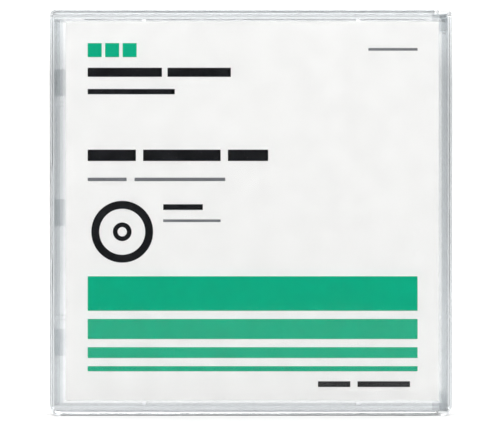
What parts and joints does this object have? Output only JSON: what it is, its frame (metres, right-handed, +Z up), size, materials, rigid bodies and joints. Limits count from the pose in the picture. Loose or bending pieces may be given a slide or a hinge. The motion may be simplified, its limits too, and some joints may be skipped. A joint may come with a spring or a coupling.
{
  "type": "cased data tape cartridge",
  "caption": "Data tape cartridge in a clear hinged storage case with a printed insert card. Braked reel, sprung tape door, leader pin and write-protect switch inside.",
  "frame": {"origin": "middle of the underside of the closed case, on the surface that it stands on", "axes": "+X to the right of the card side, +Y from the card side to the back, +Z up"},
  "size_m": [0.1118, 0.0264, 0.113],
  "materials": {
    "clear_base": "clear polished plastic",
    "clear_lid": "clear polished plastic",
    "card": "smooth coated card",
    "ink_green": "flat offset print",
    "ink_dark": "flat offset print",
    "ink_grey": "flat offset print",
    "shell": "fine sparked texture",
    "screw_steel": "dark plated",
    "door": "satin",
    "spring_steel": "drawn wire and strip",
    "switch": "moulded, semi-gloss",
    "module": "lacquered board",
    "reel": "fine satin moulding",
    "flange": "fine satin moulding",
    "bright_steel": "ground",
    "tape": "coated film",
    "brake": "satin moulding",
    "release": "satin moulding"
  },
  "bodies": {
    "root": {"case_base": "clear_base", "upper_shell": "shell", "lower_shell": "shell", "shell_screws": "screw_steel", "door_spring": "spring_steel", "memory_module": "module", "leader_tape": "tape", "leader_pin": "bright_steel", "leader_pin_springs": "spring_steel", "brake_spring": "spring_steel"},
    "lid": {"case_lid": "clear_lid", "insert_card": "card", "card_print_green": "ink_green", "card_print_dark": "ink_dark", "card_print_grey": "ink_grey"},
    "door": {"tape_door": "door"},
    "switch": {"write_protect_switch": "switch"},
    "reel": {"reel": "reel", "reel_upper_flange": "flange", "clutch_plate": "bright_steel", "tape_pack": "tape"},
    "brake": {"reel_brake": "brake"},
    "release": {"brake_release_plate": "release"}
  },
  "joints": [
    {"name": "lid_hinge", "type": "hinge", "parent": "root", "child": "lid", "pos_m": [0.054, 0.0113, 0.0565], "axis": [0, 0, 1], "range_deg": [0, 180]},
    {"name": "door_slide", "type": "slide", "parent": "root", "child": "door", "axis": [0, 0, -1], "range_m": [0, 0.021], "stiffness_N_per_m": 40, "springref_m": -0.01, "deforming": ["door_spring"]},
    {"name": "write_protect_slide", "type": "slide", "parent": "root", "child": "switch", "axis": [1, 0, 0], "range_m": [0, 0.0035]},
    {"name": "reel_spin", "type": "hinge", "parent": "root", "child": "reel", "pos_m": [0, 0.002, 0.0555], "axis": [0, 1, 0], "continuous": true},
    {"name": "brake_lift", "type": "slide", "parent": "root", "child": "brake", "axis": [0, -1, 0], "range_m": [0, 0.0015], "stiffness_N_per_m": 1000, "springref_m": -0.006, "deforming": ["brake_spring"]},
    {"name": "release_lift", "type": "slide", "parent": "reel", "child": "release", "axis": [0, -1, 0], "range_m": [0, 0.0015]}
  ],
  "couplings": [
    {"joint": "release_lift", "follows": "brake_lift", "ratio": 1}
  ]
}
